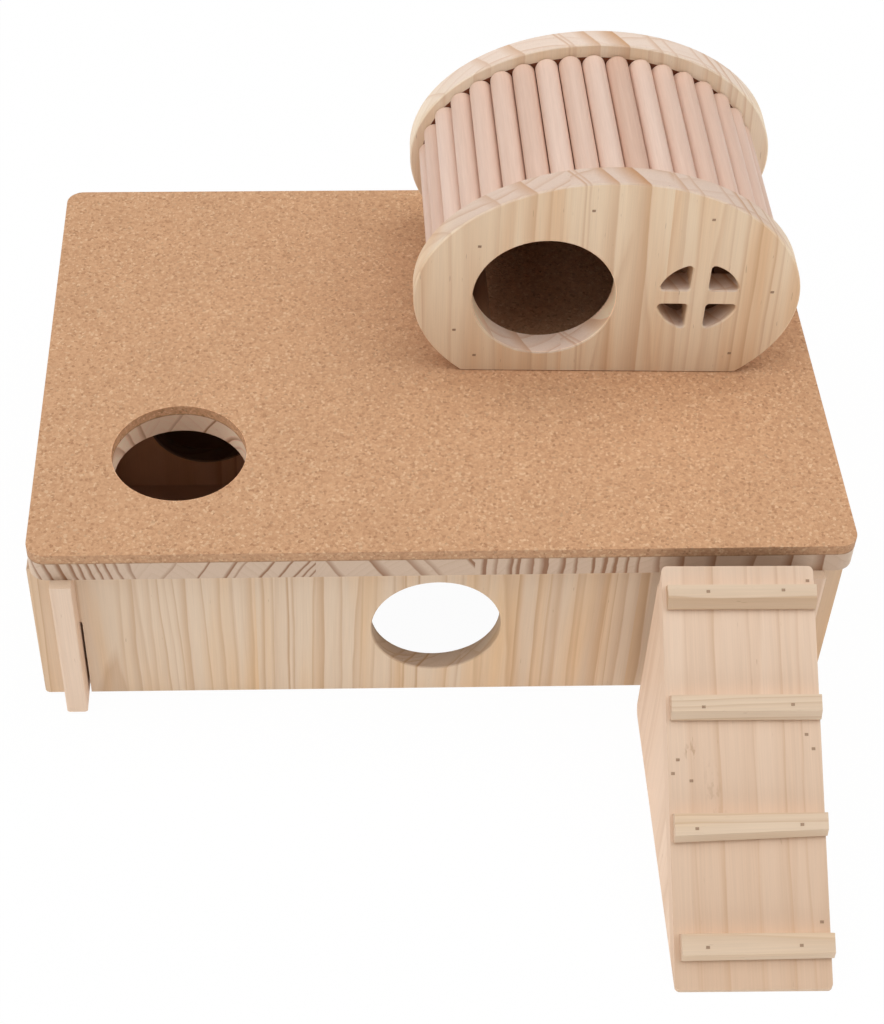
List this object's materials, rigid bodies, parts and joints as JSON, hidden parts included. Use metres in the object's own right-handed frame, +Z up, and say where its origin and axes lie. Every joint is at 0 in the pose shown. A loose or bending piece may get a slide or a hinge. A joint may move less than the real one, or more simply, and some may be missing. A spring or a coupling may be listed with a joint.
{
  "type": "wooden hamster house",
  "caption": "Open-bottomed wooden box with round holes, a cork-covered platform on top, an oval rod-roofed hut on that, and a cleated ramp in front.",
  "frame": {"origin": "on the floor, under the middle of the whole set's outline", "axes": "+Z up, +X to the right of someone facing the entrance, -Y towards the front, where the ramp stands"},
  "size_m": [0.3512, 0.4042, 0.2048],
  "materials": {
    "pine_panel": "sanded, unfinished",
    "pine_board": "sanded, unfinished",
    "cork": "ground cork",
    "pine_plate": "sanded, unfinished",
    "rod": "turned, unfinished",
    "ramp_pine": "sanded, unfinished",
    "brad": "dull"
  },
  "bodies": {
    "box": {"front_wall": "pine_panel", "inner_partition": "pine_panel", "back_wall": "pine_panel", "left_side_panel": "pine_panel", "right_side_panel": "pine_panel"},
    "platform": {"top_board": "pine_board", "cork_sheet": "cork"},
    "hut": {"hut_front_plate": "pine_plate", "hut_back_plate": "pine_plate", "roof_rod_01": "rod", "roof_rod_02": "rod", "roof_rod_03": "rod", "roof_rod_04": "rod", "roof_rod_05": "rod", "roof_rod_06": "rod", "roof_rod_07": "rod", "roof_rod_08": "rod", "roof_rod_09": "rod", "roof_rod_10": "rod", "roof_rod_11": "rod", "roof_rod_12": "rod", "roof_rod_13": "rod", "roof_rod_14": "rod", "roof_rod_15": "rod", "roof_rod_16": "rod", "roof_rod_17": "rod", "roof_rod_18": "rod", "roof_rod_19": "rod", "roof_rod_20": "rod", "roof_rod_21": "rod", "roof_rod_22": "rod", "roof_rod_23": "rod", "roof_rod_24": "rod", "roof_rod_25": "rod", "roof_rod_26": "rod", "roof_rod_27": "rod", "hut_front_brads": "brad", "hut_back_brads": "brad"},
    "ramp": {"ramp_board": "ramp_pine", "ramp_side_left": "ramp_pine", "ramp_side_right": "ramp_pine", "ramp_cleat_1": "ramp_pine", "ramp_cleat_2": "ramp_pine", "ramp_cleat_3": "ramp_pine", "ramp_cleat_4": "ramp_pine", "ramp_board_brads": "brad", "ramp_cleat_brads": "brad"}
  },
  "joints": [
    {"name": "platform_lift", "type": "slide", "parent": "box", "child": "platform", "axis": [0, 0, 1], "range_m": [0, 0.12]},
    {"name": "hut_lift", "type": "slide", "parent": "platform", "child": "hut", "axis": [0, 0, 1], "range_m": [0, 0.12]},
    {"name": "ramp_pull", "type": "slide", "parent": "box", "child": "ramp", "axis": [0, -1, 0], "range_m": [0, 0.15]}
  ]
}
